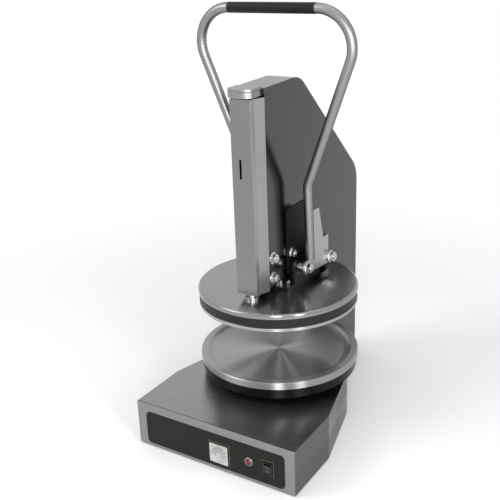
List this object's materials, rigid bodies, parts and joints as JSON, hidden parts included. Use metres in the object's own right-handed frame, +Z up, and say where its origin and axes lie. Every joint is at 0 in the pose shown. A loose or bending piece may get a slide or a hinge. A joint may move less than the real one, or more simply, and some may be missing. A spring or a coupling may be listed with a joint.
{
  "type": "lever dough press",
  "caption": "Countertop dough press: a heated round dish, an upper platen on a guided ram and a long loop handle that drives it down.",
  "frame": {"origin": "centre of the overall box at the floor under the feet", "axes": "+X to the right as the operator faces the panel, +Y from the control panel to the tower's back, +Z up"},
  "size_m": [0.368, 0.6144, 0.8623],
  "materials": {
    "brushed_sheet": "fine brushed stainless sheet",
    "handle_steel": "satin stainless tube and plate",
    "plate_steel": "dark rolled steel",
    "bright_steel": "bright turned steel",
    "turned_alloy": "lathe-turned",
    "block_alloy": "milled",
    "black_paint": "satin black enamel",
    "black_panel": "satin black film",
    "black_gloss": "polished moulding",
    "black_core": "dark moulded board",
    "pale_plastic": "pale satin moulding",
    "bezel_chrome": "bright ring",
    "red_lens": "clear red moulding",
    "black_rubber": "fine-grained rubber",
    "bronze": "sintered bronze",
    "cream_board": "cream moulding and board"
  },
  "bodies": {
    "frame": {"base_plate": "plate_steel", "base_shell": "brushed_sheet", "rubber_feet": "black_rubber", "foot_screws": "bright_steel", "control_fascia": "black_panel", "dial_plate": "pale_plastic", "thermostat": "cream_board", "pilot_bezel": "bezel_chrome", "pilot_lens": "red_lens", "switch_frame": "black_panel", "terminal_block": "cream_board", "cable_gland": "black_gloss", "gland_nut": "black_gloss", "pedestal": "black_paint", "pedestal_bolts": "bright_steel", "lower_drum": "plate_steel", "lower_insulation": "cream_board", "heater_ring": "plate_steel", "lower_platen": "turned_alloy", "tower_side_left": "brushed_sheet", "tower_side_right": "brushed_sheet", "tower_spine": "brushed_sheet", "tower_throat": "brushed_sheet", "tower_front": "black_paint", "front_column": "brushed_sheet", "column_cap": "brushed_sheet", "guide_block": "block_alloy", "ram_bushes": "bronze", "guide_bolts": "bright_steel", "guide_washers": "bright_steel", "guide_nuts": "bright_steel", "side_plates": "black_paint", "side_screws": "bright_steel", "rod_block": "block_alloy", "bump_stop": "black_rubber", "return_spring": "bright_steel", "pivot_bracket_left": "handle_steel", "pivot_bracket_right": "handle_steel", "pivot_studs": "bright_steel", "pivot_spacers": "bright_steel", "pivot_nuts": "bright_steel"},
    "handle": {"handle_tube": "handle_steel", "handle_grip": "black_rubber", "gusset_left": "handle_steel", "gusset_right": "handle_steel", "pivot_bushes": "bronze", "cam_pins": "bright_steel", "cam_spacers": "bright_steel", "cam_nuts": "bright_steel"},
    "platen": {"upper_cover": "brushed_sheet", "upper_band": "black_core", "press_plate": "turned_alloy", "yoke": "plate_steel", "yoke_bolts": "bright_steel", "ram": "bright_steel", "ram_collar": "plate_steel", "guide_rod": "bright_steel"},
    "knob": {"thermostat_knob": "pale_plastic", "thermostat_spindle": "bright_steel"},
    "rocker": {"switch_rocker": "black_gloss"}
  },
  "joints": [
    {"name": "handle_swing", "type": "hinge", "parent": "frame", "child": "handle", "pos_m": [0, 0.07925, 0.33161], "axis": [1, 0, 0], "range_deg": [0, 82]},
    {"name": "platen_slide", "type": "slide", "parent": "frame", "child": "platen", "axis": [0, 0, -1], "range_m": [0, 0.1107], "stiffness_N_per_m": 1500, "springref_m": -0.13, "deforming": ["return_spring"]},
    {"name": "thermostat_turn", "type": "hinge", "parent": "frame", "child": "knob", "pos_m": [0.0155, -0.29375, 0.04], "axis": [0, 1, 0], "range_deg": [0, 270]},
    {"name": "switch_rock", "type": "hinge", "parent": "frame", "child": "rocker", "pos_m": [0.126, -0.29375, 0.045], "axis": [-1, 0, 0], "range_deg": [0, 22]}
  ],
  "couplings": [
    {"joint": "platen_slide", "follows": "handle_swing", "m_per_rad": 0.077284}
  ]
}
